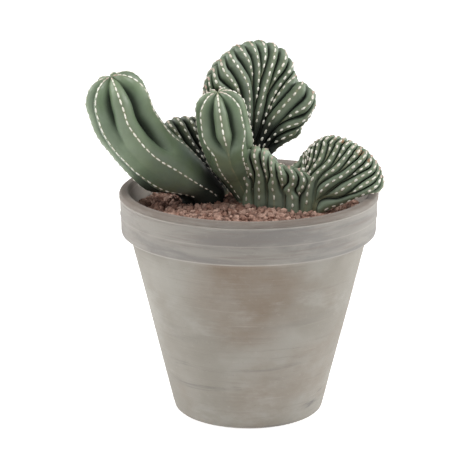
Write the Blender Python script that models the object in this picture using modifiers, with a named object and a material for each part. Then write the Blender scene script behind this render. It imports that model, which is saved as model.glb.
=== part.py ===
"""Potted crested fence post cactus: a clay pot, potting soil, lava grit and two clumps of ribbed stems.

Two kinds of stem are lofted through rings. A column is a tube along a bent spine. A crest is a fan: a sheet
that rises from a narrow foot to a long wavy growth line, thick enough to carry ribs on both sides. On both,
a rib is a cell of the ring with its ridge in the middle and a sharp valley at either edge. A young rib
starts as a point in a valley and widens as the stem does.

Sizes below are in millimetres, measured from the pot's axis at the height of its base.
"""
import math
import random

import bmesh
import bpy
import numpy as np

NAME = "potted_crested_cactus"
MM = 0.001
POT_AXIS_X = 10.777  # the stems lean further left than right, so the pot stands right of the part's centre
SEED = 11

# Pot
POT_HEIGHT = 166.5
RIM_RADIUS = 95.0
BAND_HEIGHT = 31.7
BAND_FOOT_RADIUS = 93.3
BODY_TOP_RADIUS = 86.9
FOOT_RADIUS = 55.5
LIP_RADIUS = 87.6
WALL = 7.2
FLOOR = 10.0
DRAIN_RADIUS = 8.0
LIP_REACH = 18.0  # the inside starts to widen this far below the top
BAND_ROOT = 4.0  # and the wall is at its thickest from this far below the band
POT_STEPS = 36

# Filling
GAP = 0.35
SOIL_TOP = 139.0
GRIT_CENTRE_TOP = 155.0
GRIT_WALL_TOP = 149.5
GRIT_BUMP = 1.3
GRIT_RINGS = (8, 14, 20, 28, 34, 36, 36, POT_STEPS)  # points in each ring, from the middle outwards
NECK_FOOT = 131.0
HOLE_CLEARANCE = 0.45
HOLE_TOP = 190.0

# Areoles, the pale pads on the ridges
AREOLE_HALF_LENGTH = 2.3
AREOLE_HALF_WIDTH = 1.0
AREOLE_HEIGHT = 0.9
AREOLE_END_DROOP = 0.3
AREOLE_SIDE_DROOP = 0.85
AREOLE_ROOT = 1.8
AREOLE_SPACING = 8.0
AREOLE_START = 4.45
COLUMN_PITCH = 12.5
CREST_PITCH = 28.0

# How finely a crest's middle sheet is worked out, and the run over which its facing turns in a fold
SHEET_COLUMNS = 241
FOLD_EASE = 7.0

# Ribs of a crest: most start part of the way up, every second one later, and each widens over a run
EARLY_BIRTHS = (0.16, 0.26)
LATE_BIRTHS = (0.44, 0.6)
WIDENING = 0.34
NEWBORN = 0.04

UP = np.array([0.0, 0.0, 1.0])
BACK = np.array([0.0, 1.0, 0.0])
RIGHT = np.array([1.0, 0.0, 0.0])


def clear_scene():
    for item in list(bpy.data.objects):
        bpy.data.objects.remove(item)


def new_collection(name):
    collection = bpy.data.collections.new(name)
    bpy.context.scene.collection.children.link(collection)
    return collection


def material(name, colour, roughness):
    surface = bpy.data.materials.new(name)
    surface.use_nodes = True
    shader = surface.node_tree.nodes["Principled BSDF"]
    shader.inputs["Base Color"].default_value = (*colour, 1.0)
    shader.inputs["Roughness"].default_value = roughness
    shader.inputs["Metallic"].default_value = 0.0
    return surface


def to_world(point):
    return ((point[0] + POT_AXIS_X) * MM, point[1] * MM, point[2] * MM)


def mesh_object(name, points, faces, collection):
    """An object from points in millimetres, with its faces turned outwards."""
    mesh = bpy.data.meshes.new(name)
    mesh.from_pydata([to_world(p) for p in points], [], faces)
    build = bmesh.new()
    build.from_mesh(mesh)
    bmesh.ops.triangulate(build, faces=build.faces[:])
    bmesh.ops.recalc_face_normals(build, faces=build.faces[:])
    build.to_mesh(mesh)
    build.free()
    item = bpy.data.objects.new(name, mesh)
    collection.objects.link(item)
    return item


def turned_object(name, profile, steps, collection):
    """A closed profile of (radius, height) pairs, outer side first and downwards, turned about the pot's axis."""
    mesh = bpy.data.meshes.new(name)
    points = [(radius * MM, 0.0, height * MM) for radius, height in profile]
    count = len(points)
    mesh.from_pydata(points, [(i, (i + 1) % count) for i in range(count)], [])
    item = bpy.data.objects.new(name, mesh)
    item.location.x = POT_AXIS_X * MM
    collection.objects.link(item)
    screw = item.modifiers.new("turn", "SCREW")
    screw.axis = "Z"
    screw.steps = steps
    screw.render_steps = steps
    screw.use_merge_vertices = True
    screw.merge_threshold = 0.00005
    return item


def shade(item, surface, sharp_degrees=40.0):
    item.data.materials.clear()
    item.data.materials.append(surface)
    item.data.shade_smooth()
    item.data.set_sharp_from_angle(angle=math.radians(sharp_degrees))


def ease(value, low, high):
    """A smooth step from 0 at low to 1 at high."""
    t = np.clip((value - low) / (high - low), 0.0, 1.0)
    return t * t * (3.0 - 2.0 * t)


def unit(vectors):
    return vectors / np.maximum(np.linalg.norm(vectors, axis=-1, keepdims=True), 1e-9)


def smooth_path(points, count):
    """Rows evenly spaced, by their first three values, on a smooth curve through a few rows."""
    rows = np.array(points, float)
    rows = np.vstack([2 * rows[0] - rows[1], rows, 2 * rows[-1] - rows[-2]])
    t = np.linspace(0.0, 1.0, 32, endpoint=False)[:, None]
    pieces = []
    for a, b, c, d in zip(rows[:-3], rows[1:-2], rows[2:-1], rows[3:]):
        pieces.append(0.5 * (2 * b + (c - a) * t + (2 * a - 5 * b + 4 * c - d) * t ** 2
                             + (3 * b - a - 3 * c + d) * t ** 3))
    fine = np.vstack(pieces + [rows[-2][None]])
    run = np.r_[0.0, np.cumsum(np.linalg.norm(np.diff(fine[:, :3], axis=0), axis=1))]
    wanted = np.linspace(0.0, run[-1], count)
    return np.column_stack([np.interp(wanted, run, fine[:, k]) for k in range(rows.shape[1])])


def read_path(path, share):
    """Rows of a path at shares of its length, from 0 to 1."""
    places = np.linspace(0.0, 1.0, len(path))
    return np.column_stack([np.interp(share, places, path[:, k]) for k in range(path.shape[1])])


class Ribs:
    """The cells round a ring. Cell 0 has its ridge at place 0, and each cell's weight is its share of room."""

    def __init__(self, count, weight_at, depth_at, power):
        self.count = count
        self.weight_at = weight_at
        self.depth_at = depth_at
        self.power = power

    def columns(self, station, step, per_cell):
        """Cell numbers, places across the cell (-1 to 1), and running room, for one ring's columns."""
        cells = np.arange(0, self.count, step)
        weights = np.array([self.weight_at(cell, station) for cell in cells])
        middles = np.r_[0.0, np.cumsum((weights + np.roll(weights, -1)) / 2.0)]
        place = np.arange(len(cells) * per_cell) / per_cell
        nearest = np.floor(place + 0.5).astype(int)
        across = (place - nearest) * 2.0
        index = nearest % len(cells)
        room = middles[nearest] + across * weights[index] / 2.0
        return place * step, weights[index], across, room, middles

    def sink(self, station, weights, across):
        """How far below the ridges' level each column lies."""
        share = weights ** 0.6 * (1.0 - np.abs(across) ** self.power)
        return self.depth_at(station) * (1.0 - share)


class Crest:
    """A fan. Station 0 is its foot, 1 where its top starts to round over, 2 its growth line, and -1 its root.

    Going round a ring, place 0 is the middle of the left edge and the front comes first. The back mirrors it.
    One rib in old_every starts at the foot, and the others start higher up.
    """

    def __init__(self, rows, cells, half_foot, half_top, crown, depth, seed, old_every=4, power=2.0):
        path = smooth_path(rows, SHEET_COLUMNS)
        self.growth = path[:, :3]
        self.foot = path[:, 6:9]
        reach = np.linalg.norm(self.growth - self.foot, axis=1)[:, None]
        self.guide = self.foot + BACK * path[:, 3:4] + UP * path[:, 4:5] * reach + RIGHT * path[:, 5:6]
        self.growth = self.growth - crown * unit(self.growth - self.guide)
        self.half_foot, self.half_top, self.crown = half_foot, half_top, crown
        draw = random.Random(seed)
        births = []
        for cell in range(cells + 1):
            young = draw.uniform(*(LATE_BIRTHS if cell % 2 else EARLY_BIRTHS))
            births.append(0.0 if cell % old_every == 0 else young)
        self.births = births + births[-2:0:-1]

        def weight_at(cell, station):
            born = self.births[cell]
            grown = float(ease(station, born, born + WIDENING))
            return 1.0 if born == 0.0 else NEWBORN + (1.0 - NEWBORN) * grown

        def depth_at(station):
            return depth * float(0.5 + 0.5 * ease(station, 0.0, 0.5)) * float(1.0 - 0.4 * ease(station, 1.2, 2.0))

        self.ribs = Ribs(2 * cells, weight_at, depth_at, power)

    def sheet(self, rise):
        """The fan's middle sheet at one height: points, directions up the ribs and directions to the front."""
        middle = (1 - rise) ** 2 * self.foot + 2 * rise * (1 - rise) * self.guide + rise ** 2 * self.growth
        rising = unit(2 * (1 - rise) * (self.guide - self.foot) + 2 * rise * (self.growth - self.guide))
        normal = unit(np.cross(np.gradient(middle, axis=0), rising))
        reach = int(SHEET_COLUMNS * FOLD_EASE / np.linalg.norm(np.diff(middle, axis=0), axis=1).sum())
        reach = min(max(reach, 1), SHEET_COLUMNS // 4)
        padded = np.vstack([normal[:1]] * reach + [normal] + [normal[-1:]] * reach)
        sums = np.vstack([np.zeros(3), np.cumsum(padded, axis=0)])
        normal = unit(sums[2 * reach + 1:] - sums[:-2 * reach - 1])
        at_foot = unit(np.cross(self.foot[-1] - self.foot[0], UP))
        share = float(ease(rise, 0.0, 0.55))
        normal = unit(normal * share + at_foot * (1.0 - share))
        normal = unit(normal - rising * np.sum(normal * rising, axis=1)[:, None])
        return middle, rising, normal

    def ring(self, station, step=1, per_cell=4):
        """Points and outward directions of one ring, and each column's place."""
        place, weights, across, room, middles = self.ribs.columns(station, step, per_cell)
        rise = min(max(station, 0.0), 1.0)
        turn = max(station - 1.0, 0.0) * math.pi / 2.0
        middle, rising, normal = self.sheet(rise)
        half = self.half_foot + (self.half_top - self.half_foot) * float(ease(rise, 0.0, 0.9))
        edge_radius = max(half * math.cos(turn), 1e-6)
        edge = edge_radius * math.pi / 2.0
        length = np.linalg.norm(np.diff(middle, axis=0), axis=1).sum()
        share = (room / middles[-1] * 2.0) % 2.0
        sign = np.where(share <= 1.0, 1.0, -1.0)[:, None]
        run = np.where(share <= 1.0, share, 2.0 - share) * (2.0 * edge + length)
        along = np.clip((run - edge) / length, 0.0, 1.0)
        past = np.clip(edge - run, 0.0, edge) - np.clip(run - edge - length, 0.0, edge)
        bend = (past / edge_radius)[:, None]
        middle, rising, normal = (read_path(p, along) for p in (middle, rising, normal))
        rising, normal = unit(rising), unit(normal)
        edgewise = np.cross(rising, normal)
        facing = np.cos(bend) * normal * sign - np.sin(bend) * edgewise
        outward = math.cos(turn) * facing + math.sin(turn) * rising
        points = middle + half * math.cos(turn) * facing + self.crown * math.sin(turn) * rising
        points = points - self.ribs.sink(station, weights, across)[:, None] * outward
        if station < 0:
            points[:, 2] = points[:, 2] + (NECK_FOOT - points[:, 2]) * -station
        return points, outward, place

    def neck_outline(self, clearance):
        """The neck's outline, clear of its ridges, as horizontal points."""
        start, end = self.foot[0][:2], self.foot[-1][:2]
        heading = math.atan2(end[1] - start[1], end[0] - start[0])
        radius = (self.half_foot + clearance) / math.cos(math.pi / 16)
        outline = []
        for centre, turned in ((end, -math.pi / 2), (start, math.pi / 2)):
            for k in range(9):
                angle = heading + turned + math.pi * k / 8
                outline.append((centre[0] + radius * math.cos(angle), centre[1] + radius * math.sin(angle)))
        return outline

    def skin(self, plan):
        """Points and faces of the closed fan. The plan lists each ring's station, cell step and columns."""
        points, faces, lower = [], [], None
        for station, step, per_cell in plan:
            ring, _, place = self.ring(station, step, per_cell)
            upper = [(p, len(points) + i) for i, p in enumerate(place)]
            if station >= 2.0:
                half = len(place) // 2
                upper = [(p, len(points) + min(i, 2 * half - i)) for i, p in enumerate(place)]
                ring = ring[:half + 1]
            points.extend(ring)
            if lower is None:
                faces.append([index for _, index in upper][::-1])
            else:
                faces.extend(zip_rings(lower, upper, self.ribs.count))
            lower = upper
        return points, faces

    def ridges(self, pitch):
        """Places for areoles: point, outward direction and direction along the ridge."""
        stations = np.linspace(0.06, 1.8, 88)
        rings = [self.ring(s, 1, 2) for s in stations]
        found = []
        for cell in range(self.ribs.count):
            start = self.births[cell] + (WIDENING / 2.0 if self.births[cell] else 0.0)
            chosen = [i for i, s in enumerate(stations) if s >= start]
            line = np.array([rings[i][0][cell * 2] for i in chosen])
            outward = np.array([rings[i][1][cell * 2] for i in chosen])
            found.extend(spots_on_line(line, outward, pitch, (cell % 2) * 0.5))
        return found


class Column:
    """A ribbed stem round a spine. Station 0 is its foot, 1 where its dome starts, 2 its tip, -1 its root."""

    def __init__(self, spine, cells, first_angle, dome, depth, weight_at, power=1.35):
        self.path = smooth_path(spine, 201)
        self.first_angle = math.radians(first_angle)
        self.dome = dome

        def depth_at(station):
            low_share = float(0.16 + 0.84 * ease(station, 0.25, 0.95))
            return depth * low_share * float(1.0 - 0.7 * ease(station, 1.25, 2.0))

        self.ribs = Ribs(cells, weight_at, depth_at, power)

    def ring(self, station, step=1, per_cell=4):
        place, weights, across, room, middles = self.ribs.columns(station, step, per_cell)
        rise = np.array([min(max(station, 0.0), 1.0)])
        turn = max(station - 1.0, 0.0) * math.pi / 2.0
        centre = read_path(self.path, rise)[0]
        ahead = read_path(self.path, np.minimum(rise + 0.02, 1.0))[0]
        behind = read_path(self.path, np.maximum(rise - 0.02, 0.0))[0]
        lean = float(ease(station, 0.0, 0.5))
        axis = unit(UP * (1.0 - lean) + unit((ahead - behind)[:3]) * lean)
        radius = centre[3]
        front = unit(np.cross(axis, np.cross(axis, [0.0, 1.0, 0.0])))
        side = np.cross(axis, front)
        angle = self.first_angle + room / middles[-1] * 2.0 * math.pi
        facing = np.cos(angle)[:, None] * front + np.sin(angle)[:, None] * side
        outward = math.cos(turn) * facing + math.sin(turn) * axis
        dip = 1.0 - 0.07 * float(ease(station, 1.55, 2.0))
        points = centre[:3] + radius * math.cos(turn) * facing + self.dome * dip * math.sin(turn) * axis
        points = points - self.ribs.sink(station, weights, across)[:, None] * outward
        if station < 0:
            points[:, 2] = points[:, 2] + (NECK_FOOT - points[:, 2]) * -station
        return points, outward, place

    def neck_outline(self, clearance):
        centre = self.path[0]
        radius = (centre[3] + clearance) / math.cos(math.pi / 20)
        turns = [2 * math.pi * k / 20 for k in range(20)]
        return [(centre[0] + radius * math.cos(a), centre[1] + radius * math.sin(a)) for a in turns]

    def skin(self, plan):
        points, faces, lower = [], [], None
        for station, step, per_cell in plan:
            ring, _, place = self.ring(station, step, per_cell)
            upper = [(p, len(points) + i) for i, p in enumerate(place)]
            points.extend(ring)
            if lower is None:
                faces.append([index for _, index in upper][::-1])
            else:
                faces.extend(zip_rings(lower, upper, self.ribs.count))
            lower = upper
        tip = len(points)
        points.append(np.mean(self.ring(2.0, 1, 2)[0], axis=0))
        for (_, a), (_, b) in zip(lower, lower[1:] + lower[:1]):
            faces.append([a, b, tip])
        return points, faces

    def ridges(self, pitch):
        stations = np.linspace(0.08, 1.85, 88)
        rings = [self.ring(s, 1, 2) for s in stations]
        found = []
        for cell in range(self.ribs.count):
            chosen = [i for i, s in enumerate(stations) if self.ribs.weight_at(cell, s) > 0.45]
            line = np.array([rings[i][0][cell * 2] for i in chosen])
            outward = np.array([rings[i][1][cell * 2] for i in chosen])
            found.extend(spots_on_line(line, outward, pitch, (cell % 2) * 0.5))
        return found


def spots_on_line(line, outward, pitch, offset):
    """Evenly spaced spots on a ridge, from its young end at the top downwards."""
    line, outward = line[::-1], outward[::-1]
    if len(line) < 2:
        return []
    run = np.r_[0.0, np.cumsum(np.linalg.norm(np.diff(line, axis=0), axis=1))]
    spots = []
    for distance in np.arange(AREOLE_START + pitch * offset, run[-1], pitch):
        point = np.array([np.interp(distance, run, line[:, k]) for k in range(3)])
        facing = unit(np.array([np.interp(distance, run, outward[:, k]) for k in range(3)]))
        after = np.array([np.interp(min(distance + 1.0, run[-1]), run, line[:, k]) for k in range(3)])
        before = np.array([np.interp(max(distance - 1.0, 0.0), run, line[:, k]) for k in range(3)])
        along = unit(after - before)
        spots.append((point, unit(facing - along * (facing @ along)), along))
    return spots


def zip_rings(lower, upper, total):
    """Faces between two closed rings of (place, point number), which both have a column at place 0."""
    low = lower + [(total, lower[0][1])]
    high = upper + [(total, upper[0][1])]
    faces, i, j = [], 0, 0
    while i < len(low) - 1 or j < len(high) - 1:
        next_low = low[i + 1][0] if i < len(low) - 1 else math.inf
        next_high = high[j + 1][0] if j < len(high) - 1 else math.inf
        if abs(next_low - next_high) < 1e-6:
            corners = [low[i][1], low[i + 1][1], high[j + 1][1], high[j][1]]
            i, j = i + 1, j + 1
        elif next_low < next_high:
            corners = [low[i][1], low[i + 1][1], high[j][1]]
            i += 1
        else:
            corners = [low[i][1], high[j + 1][1], high[j][1]]
            j += 1
        kept = [c for n, c in enumerate(corners) if c not in corners[:n]]
        if len(kept) > 2:
            faces.append(kept)
    return faces


def areole_solid(spots):
    """Small eight-sided pads, half sunk in the ridges, as one mesh of separate closed bodies."""
    points, faces = [], []
    for point, facing, along in spots:
        across = np.cross(facing, along)
        first = len(points)
        end, side = point - facing * AREOLE_END_DROOP, point - facing * AREOLE_SIDE_DROOP
        points += [end + along * AREOLE_HALF_LENGTH, side + across * AREOLE_HALF_WIDTH,
                   end - along * AREOLE_HALF_LENGTH, side - across * AREOLE_HALF_WIDTH,
                   point + facing * AREOLE_HEIGHT, point - facing * AREOLE_ROOT]
        for k in range(4):
            faces.append([first + k, first + (k + 1) % 4, first + 4])
            faces.append([first + (k + 1) % 4, first + k, first + 5])
    return points, faces


def far_enough(spots, spacing):
    """Spots thinned until none is closer than the spacing to another."""
    kept = []
    for spot in spots:
        if all(np.linalg.norm(spot[0] - other[0]) > spacing for other in kept):
            kept.append(spot)
    return kept


# Stems. A column's rows are spine x, y, z and radius, from the grit to where its dome starts. A crest's rows
# are its growth line's x, y, z, then how far back its rib bows, what share of the rib's reach is upright, and
# how far right it bows.
STEM_FOOT = 157.0
STALK_TOP = 176.0

LEFT_SPINE = [(-34.0, 13.0, STEM_FOOT, 16.5), (-38.0, 12.0, 163.0, 18.3), (-48.0, 7.5, 171.5, 20.0),
              (-60.0, 1.5, 183.0, 21.5), (-74.0, -5.5, 198.0, 22.5), (-88.0, -10.5, 219.0, 24.0),
              (-93.0, -13.0, 234.5, 24.0)]
CLUB_SPINE = [(0.0, 4.0, STEM_FOOT, 9.5), (-3.5, 3.5, 166.0, 12.0), (-8.5, 1.0, 179.0, 14.5),
              (-13.3, -6.0, 192.5, 17.2), (-16.0, -12.0, 205.0, 18.8), (-18.5, -15.5, 216.5, 19.3),
              (-20.3, -17.5, 228.0, 18.5)]

SMALL_GROWTH = [(-65.0, 8.0, 199.0, 0.0, 0.2, 0.0), (-65.0, 14.0, 208.0, 0.0, 0.2, 0.0),
                (-58.0, 20.0, 213.5, 0.0, 0.2, 0.0), (-48.5, 25.0, 215.0, 0.0, 0.2, 0.0),
                (-39.0, 29.0, 213.0, 0.0, 0.2, 0.0), (-30.0, 33.0, 207.0, 0.0, 0.2, 0.0),
                (-23.0, 37.0, 197.0, 0.0, 0.2, 0.0)]
SMALL_FOOT = ((-29.0, 20.0, STEM_FOOT), (-19.5, 32.0, STEM_FOOT))

TALL_GROWTH = [(-32.0, 0.0, 227.0, 9.0, 0.5, 0.0), (-33.0, -7.0, 239.0, 11.0, 0.55, 3.0),
               (-30.0, -10.0, 250.5, 11.0, 0.6, 6.0), (-23.0, -7.0, 261.0, 9.0, 0.66, 9.0),
               (-11.0, 4.0, 270.0, 6.0, 0.68, 10.0), (2.0, 15.0, 273.0, 3.0, 0.66, 9.0),
               (14.0, 23.0, 271.0, 0.0, 0.6, 7.0), (25.0, 26.0, 265.0, 0.0, 0.54, 5.0),
               (32.5, 26.0, 254.0, 0.0, 0.48, 3.0), (35.5, 20.0, 243.5, 2.0, 0.44, 1.0),
               (42.0, 12.0, 242.0, 4.0, 0.42, 0.0), (48.5, 8.0, 233.5, 4.0, 0.42, 0.0),
               (47.5, 9.0, 223.5, 3.5, 0.42, 0.0), (43.5, 11.0, 216.5, 1.5, 0.42, 0.0),
               (38.0, 13.0, 211.0, 0.0, 0.42, 0.0)]
TALL_FOOT = ((-4.0, 16.0, STALK_TOP), (6.0, 16.0, STALK_TOP))

FRONT_GROWTH = [(-7.5, -8.0, 182.0, 0.0, 0.4, 0.0), (-7.0, -13.0, 192.0, 0.0, 0.4, 0.0),
                (-1.5, -16.5, 199.5, 0.0, 0.4, 0.0), (7.5, -17.5, 201.5, 0.0, 0.4, 0.0),
                (15.0, -17.5, 196.0, 0.0, 0.4, 0.0), (20.0, -17.0, 190.0, 0.0, 0.4, 0.0),
                (26.0, -17.5, 187.5, 0.0, 0.4, 0.0), (34.0, -18.0, 186.5, 0.0, 0.4, 0.0),
                (41.0, -17.0, 183.0, 0.0, 0.4, 0.0)]
FRONT_FOOT = ((-1.0, -2.0, STEM_FOOT), (35.0, -13.5, STEM_FOOT))

LOW_GROWTH = [(36.5, -9.0, 189.0, 0.0, 0.3, 0.0), (41.5, -5.5, 197.0, 0.0, 0.3, 0.0),
              (49.0, -5.0, 203.5, 0.0, 0.3, 0.0), (57.5, -7.5, 208.0, 0.0, 0.28, 0.0),
              (66.5, -11.5, 208.0, 0.0, 0.26, 0.0), (75.5, -15.5, 205.0, 0.0, 0.24, 0.0),
              (84.5, -20.0, 200.0, 0.0, 0.24, 0.0), (93.5, -24.5, 189.0, 0.0, 0.24, 0.0),
              (96.0, -29.0, 177.5, 0.0, 0.24, 0.0)]
LOW_FOOT = ((36.0, -11.0, STEM_FOOT), (50.0, -15.0, STEM_FOOT))


def crest_rows(growth, foot):
    """Each growth row beside the point of the foot that its rib rises from."""
    count = len(growth)
    rows = []
    for number, row in enumerate(growth):
        share = number / (count - 1)
        rows.append((*row, *(a + (b - a) * share for a, b in zip(*foot))))
    return rows


def every_rib(cell, station):
    return 1.0


def short_middle_rib(cell, station):
    """The club's rib that faces front ends half-way up, and its neighbours take its room."""
    return 1.0 if cell else 0.05 + 0.95 * float(ease(station, 0.5, 0.74))


# Each ring's station, which cells have begun (every fourth, every second or all) and its columns a cell.
COLUMN_PLAN = [(-1.0, 1, 4), (0.0, 1, 4), (0.12, 1, 4), (0.26, 1, 4), (0.4, 1, 4), (0.54, 1, 4), (0.68, 1, 4),
               (0.84, 1, 4), (1.0, 1, 4), (1.25, 1, 4), (1.5, 1, 4), (1.72, 1, 4), (1.9, 1, 4)]
CREST_PLAN = [(-1.0, 4, 4), (0.0, 4, 4), (0.18, 4, 4), (0.34, 2, 4), (0.5, 2, 4), (0.65, 1, 4), (0.82, 1, 4),
              (1.0, 1, 4), (1.35, 1, 4), (1.7, 1, 2), (2.0, 1, 2)]
FRONT_PLAN = [(-1.0, 1, 2), (0.0, 1, 2), (0.3, 1, 2), (0.6, 1, 4), (0.82, 1, 4), (1.0, 1, 4), (1.35, 1, 4),
              (1.7, 1, 2), (2.0, 1, 2)]


def left_stems():
    column = Column(LEFT_SPINE, cells=7, first_angle=9.0, dome=21.5, depth=7.5, weight_at=every_rib)
    crest = Crest(crest_rows(SMALL_GROWTH, SMALL_FOOT), cells=10, half_foot=5.5, half_top=7.0,
                  crown=8.0, depth=3.8, seed=SEED)
    return [(column, COLUMN_PLAN, COLUMN_PITCH), (crest, CREST_PLAN, CREST_PITCH)]


def right_stems():
    club = Column(CLUB_SPINE, cells=7, first_angle=0.0, dome=16.5, depth=5.6, weight_at=short_middle_rib)
    tall = Crest(crest_rows(TALL_GROWTH, TALL_FOOT), cells=18, half_foot=7.5, half_top=7.5, crown=8.5,
                 depth=4.0, seed=SEED + 3)
    front = Crest(crest_rows(FRONT_GROWTH, FRONT_FOOT), cells=12, half_foot=6.5, half_top=6.0, crown=7.0,
                  depth=3.4, seed=SEED + 2, old_every=1)
    low = Crest(crest_rows(LOW_GROWTH, LOW_FOOT), cells=18, half_foot=7.0, half_top=6.5, crown=7.5, depth=3.6,
                seed=SEED + 3)
    return [(tall, CREST_PLAN, CREST_PITCH), (club, COLUMN_PLAN, COLUMN_PITCH), (front, FRONT_PLAN, CREST_PITCH),
            (low, CREST_PLAN, CREST_PITCH)]


def fuse(base, others):
    """One solid from a stem and the collection of what grows with it."""
    union = base.modifiers.new("fuse", "BOOLEAN")
    union.operation = "UNION"
    union.operand_type = "COLLECTION"
    union.collection = others
    union.solver = "MANIFOLD"
    graph = bpy.context.evaluated_depsgraph_get()
    fused = bpy.data.meshes.new_from_object(base.evaluated_get(graph))
    base.modifiers.clear()
    base.data = fused
    for item in list(others.objects):
        bpy.data.objects.remove(item)
    bpy.data.collections.remove(others)


def keep_largest(item):
    """Drops the scraps that the union leaves beside the main body."""
    build = bmesh.new()
    build.from_mesh(item.data)
    bodies, waiting = [], set(build.verts)
    while waiting:
        body, front = set(), [waiting.pop()]
        while front:
            corner = front.pop()
            body.add(corner)
            fresh = [edge.other_vert(corner) for edge in corner.link_edges]
            fresh = [other for other in fresh if other in waiting]
            waiting.difference_update(fresh)
            front.extend(fresh)
        bodies.append(body)
    bodies.sort(key=len)
    bmesh.ops.delete(build, geom=[corner for body in bodies[:-1] for corner in body], context="VERTS")
    build.to_mesh(item.data)
    build.free()


def build_clump(name, stems, surface, collection):
    """A clump of stems with its areoles, as one solid."""
    others = new_collection(name + "_growths")
    first, plan, _ = stems[0]
    base = mesh_object(name, *first.skin(plan), collection)
    for stem, plan, _ in stems[1:]:
        mesh_object(name + "_stem", *stem.skin(plan), others)
    spots = [spot for stem, _, pitch in stems for spot in stem.ridges(pitch)]
    mesh_object(name + "_areoles", *areole_solid(far_enough(spots, AREOLE_SPACING)), others)
    fuse(base, others)
    keep_largest(base)
    shade(base, surface, 32.0)
    return base


def inner_radius(height):
    """The pot's inside radius at a height."""
    heights = [FLOOR, FLOOR + 2.0, POT_HEIGHT - BAND_HEIGHT - BAND_ROOT, POT_HEIGHT - LIP_REACH, POT_HEIGHT - 2.0]
    body = BODY_TOP_RADIUS - WALL
    radii = [FOOT_RADIUS - WALL - 1.5, FOOT_RADIUS - WALL + 0.4, body, body + 5.0, LIP_RADIUS]
    return float(np.interp(height, heights, radii))


def build_pot(collection):
    band_foot = POT_HEIGHT - BAND_HEIGHT
    step_heights = [POT_HEIGHT - LIP_REACH, band_foot - BAND_ROOT, FLOOR + 2.0]
    outside = [(LIP_RADIUS + 1.2, POT_HEIGHT), (RIM_RADIUS - 2.0, POT_HEIGHT), (RIM_RADIUS - 0.5, POT_HEIGHT - 1.3),
               (RIM_RADIUS, POT_HEIGHT - 4.0), (RIM_RADIUS - 0.7, POT_HEIGHT - 5.0),
               (BAND_FOOT_RADIUS, band_foot + 1.6), (BAND_FOOT_RADIUS - 1.5, band_foot),
               (BODY_TOP_RADIUS + 0.7, band_foot), (BODY_TOP_RADIUS, band_foot - 1.0),
               (FOOT_RADIUS + 0.5, 1.4), (FOOT_RADIUS - 0.9, 0.0)]
    inside = [(DRAIN_RADIUS + 0.8, 0.0), (DRAIN_RADIUS, 0.8), (DRAIN_RADIUS, FLOOR),
              (inner_radius(FLOOR), FLOOR)] + [(inner_radius(h), h) for h in reversed(step_heights)]
    inside.append((LIP_RADIUS, POT_HEIGHT - 1.6))
    pot = turned_object("pot", outside + inside, POT_STEPS, collection)
    shade(pot, material("clay", (0.36, 0.30, 0.25), 0.9), 30.0)
    return pot


def prism(name, outline, low, high, collection):
    """A straight-sided solid on a horizontal outline."""
    count = len(outline)
    points = [(x, y, low) for x, y in outline] + [(x, y, high) for x, y in outline]
    faces = [[(i + 1) % count, i, i + count, (i + 1) % count + count] for i in range(count)]
    faces += [list(range(count)), list(range(count, 2 * count))[::-1]]
    cutter = mesh_object(name, points, faces, collection)
    cutter.hide_render = True
    cutter.display_type = "WIRE"
    return cutter


def cut(item, cutters):
    for cutter in cutters:
        hole = item.modifiers.new("hole_" + cutter.name, "BOOLEAN")
        hole.operation = "DIFFERENCE"
        hole.object = cutter


def build_soil(cutters, collection):
    low = FLOOR + GAP
    profile = [(inner_radius(SOIL_TOP) - GAP, SOIL_TOP)]
    profile += [(inner_radius(h) - GAP, h) for h in (POT_HEIGHT - BAND_HEIGHT - BAND_ROOT, FLOOR + 2.0)]
    profile += [(inner_radius(low) - 1.0, low)]
    points, faces = [], []
    for ring, (radius, height) in enumerate(profile):
        for k in range(POT_STEPS):
            angle = 2 * math.pi * k / POT_STEPS
            points.append((radius * math.cos(angle), radius * math.sin(angle), height))
            if ring:
                a, b = (ring - 1) * POT_STEPS, ring * POT_STEPS
                faces.append([a + k, a + (k + 1) % POT_STEPS, b + (k + 1) % POT_STEPS, b + k])
    faces += [list(range(POT_STEPS)), list(range(len(points) - POT_STEPS, len(points)))]
    soil = mesh_object("soil", points, faces, collection)
    cut(soil, cutters)
    shade(soil, material("soil", (0.05, 0.035, 0.025), 0.95))
    return soil


def build_grit(cutters, collection):
    """A pebbly layer: rings of points raised by a seeded draw, over a flat underside."""
    draw = random.Random(SEED)
    low = SOIL_TOP + GAP
    outer = inner_radius(GRIT_WALL_TOP) - GAP
    points, rings = [(0.0, 0.0, GRIT_CENTRE_TOP)], []
    for number, count in enumerate(GRIT_RINGS):
        radius = outer * ((number + 1) / len(GRIT_RINGS)) ** 0.9
        last = number == len(GRIT_RINGS) - 1
        ring = []
        for k in range(count):
            angle = 2 * math.pi * (k + (0.0 if last else draw.uniform(-0.3, 0.3) + 0.5 * (number % 2))) / count
            bump = 0.0 if last else draw.uniform(-GRIT_BUMP, GRIT_BUMP)
            height = GRIT_CENTRE_TOP + (GRIT_WALL_TOP - GRIT_CENTRE_TOP) * (radius / outer) ** 2 + bump
            ring.append((k / count, len(points)))
            points.append((radius * math.cos(angle), radius * math.sin(angle), height))
        rings.append(ring)
    base = []
    for k in range(POT_STEPS):
        angle = 2 * math.pi * k / POT_STEPS
        radius = inner_radius(low) - GAP
        base.append((k / POT_STEPS, len(points)))
        points.append((radius * math.cos(angle), radius * math.sin(angle), low))
    inner = rings[0]
    faces = [[0, inner[k][1], inner[(k + 1) % len(inner)][1]] for k in range(len(inner))]
    for lower, upper in zip(rings, rings[1:] + [base]):
        faces.extend(zip_rings(lower, upper, 1.0))
    faces.append([index for _, index in base])
    grit = mesh_object("grit", points, faces, collection)
    cut(grit, cutters)
    shade(grit, material("lava_grit", (0.24, 0.13, 0.09), 0.95), 25.0)
    return grit


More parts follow.
